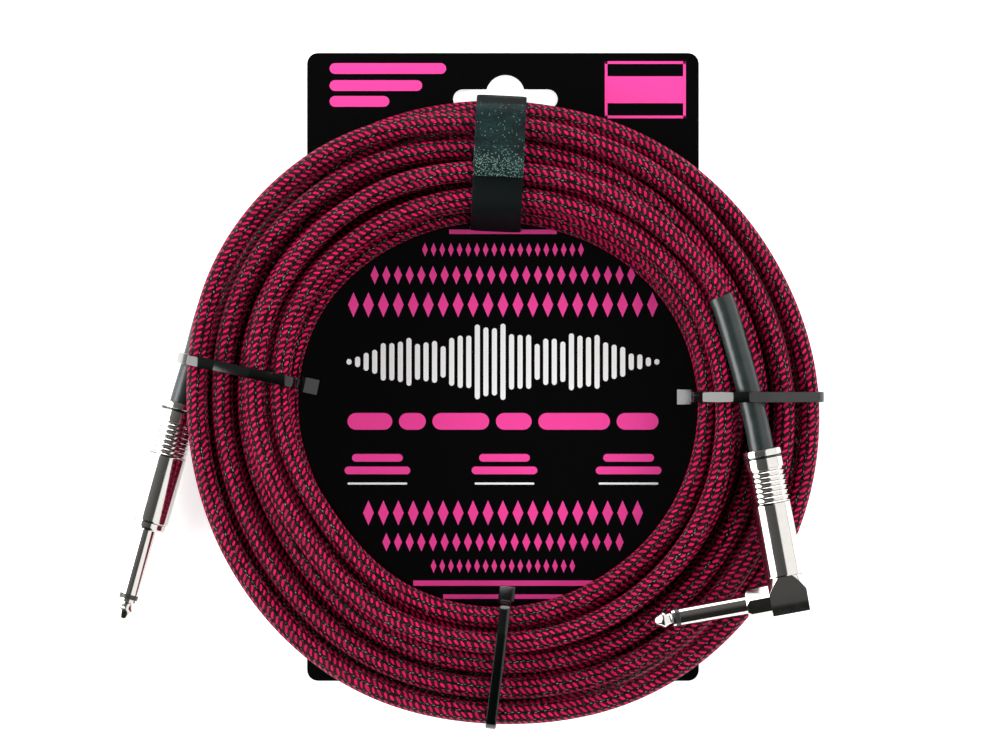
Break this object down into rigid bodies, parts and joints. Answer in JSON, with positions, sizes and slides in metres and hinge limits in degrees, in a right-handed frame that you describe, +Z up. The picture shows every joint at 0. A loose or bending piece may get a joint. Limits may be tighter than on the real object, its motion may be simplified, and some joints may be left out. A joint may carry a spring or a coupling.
{
  "type": "instrument cable",
  "caption": "Braided instrument cable, straight and right-angle 6.35 mm mono plugs, coiled flat and held to a hanging card by cable ties and a hook-and-loop strap",
  "frame": {"origin": "Bottom centre of the tied card: the middle of the box round card, ties and strap, on the surface it lies on.", "axes": "+Z up out of the card's face, +Y towards the hanging slot, +X to the right as the card is read."},
  "size_m": [0.2358, 0.2255, 0.0383],
  "materials": {
    "braid": "woven crimson and charcoal braid",
    "nickel": "bright nickel plate",
    "black_plastic": "glossy black nylon",
    "sleeve": "satin heat-shrink sleeve",
    "clear_plastic": "milky insulating tube",
    "copper": "tinned copper strand",
    "card": "printed card, satin black",
    "strap": "hook-and-loop webbing"
  },
  "bodies": {
    "tied_cable": {"cable_coil": "braid", "straight_cable_tail": "braid", "angle_cable_tail": "braid", "straight_tip": "nickel", "straight_insulator": "black_plastic", "straight_sleeve": "nickel", "straight_ground_lug": "nickel", "straight_washer": "black_plastic", "straight_terminal": "nickel", "straight_core_wire": "copper", "straight_shield_wire": "copper", "straight_boot": "sleeve", "angle_tip": "nickel", "angle_insulator": "black_plastic", "angle_sleeve": "nickel", "angle_elbow": "nickel", "angle_ground_lug": "nickel", "angle_washer": "black_plastic", "angle_terminal": "nickel", "angle_core_wire": "copper", "angle_shield_wire": "copper", "angle_boot": "sleeve", "backing_card": "card", "tie_left": "black_plastic", "tie_right": "black_plastic", "tie_bottom": "black_plastic", "strap_band": "strap"},
    "straight_tube": {"straight_inner_tube": "clear_plastic"},
    "straight_barrel": {"straight_barrel": "nickel", "straight_barrel_ring": "black_plastic"},
    "angle_tube": {"angle_inner_tube": "clear_plastic"},
    "angle_barrel": {"angle_barrel": "nickel", "angle_barrel_ring": "black_plastic"},
    "strap_tab": {"strap_tab": "strap"}
  },
  "joints": [
    {"name": "straight_barrel_draw", "type": "slide", "parent": "tied_cable", "child": "straight_tube", "axis": [0.2656, 0.9641, 0], "range_m": [0, 0.006]},
    {"name": "straight_barrel_turn", "type": "hinge", "parent": "straight_tube", "child": "straight_barrel", "pos_m": [-0.126, -0.0765, 0.007], "axis": [0.2656, 0.9641, 0], "range_deg": [0, 2160]},
    {"name": "angle_barrel_draw", "type": "slide", "parent": "tied_cable", "child": "angle_tube", "axis": [-0.1805, 0.9836, 0], "range_m": [0, 0.006]},
    {"name": "angle_barrel_turn", "type": "hinge", "parent": "angle_tube", "child": "angle_barrel", "pos_m": [0.0955, -0.0682, 0.0317], "axis": [-0.1805, 0.9836, 0], "range_deg": [0, 2160]},
    {"name": "strap_peel", "type": "hinge", "parent": "tied_cable", "child": "strap_tab", "pos_m": [0.00049, 0.09477, 0.0211], "axis": [-0.9989, 0.0471, 0], "range_deg": [0, 110]}
  ],
  "couplings": [
    {"joint": "straight_barrel_turn", "follows": "straight_barrel_draw", "rad_per_m": 6283.2},
    {"joint": "angle_barrel_turn", "follows": "angle_barrel_draw", "rad_per_m": 6283.2}
  ]
}
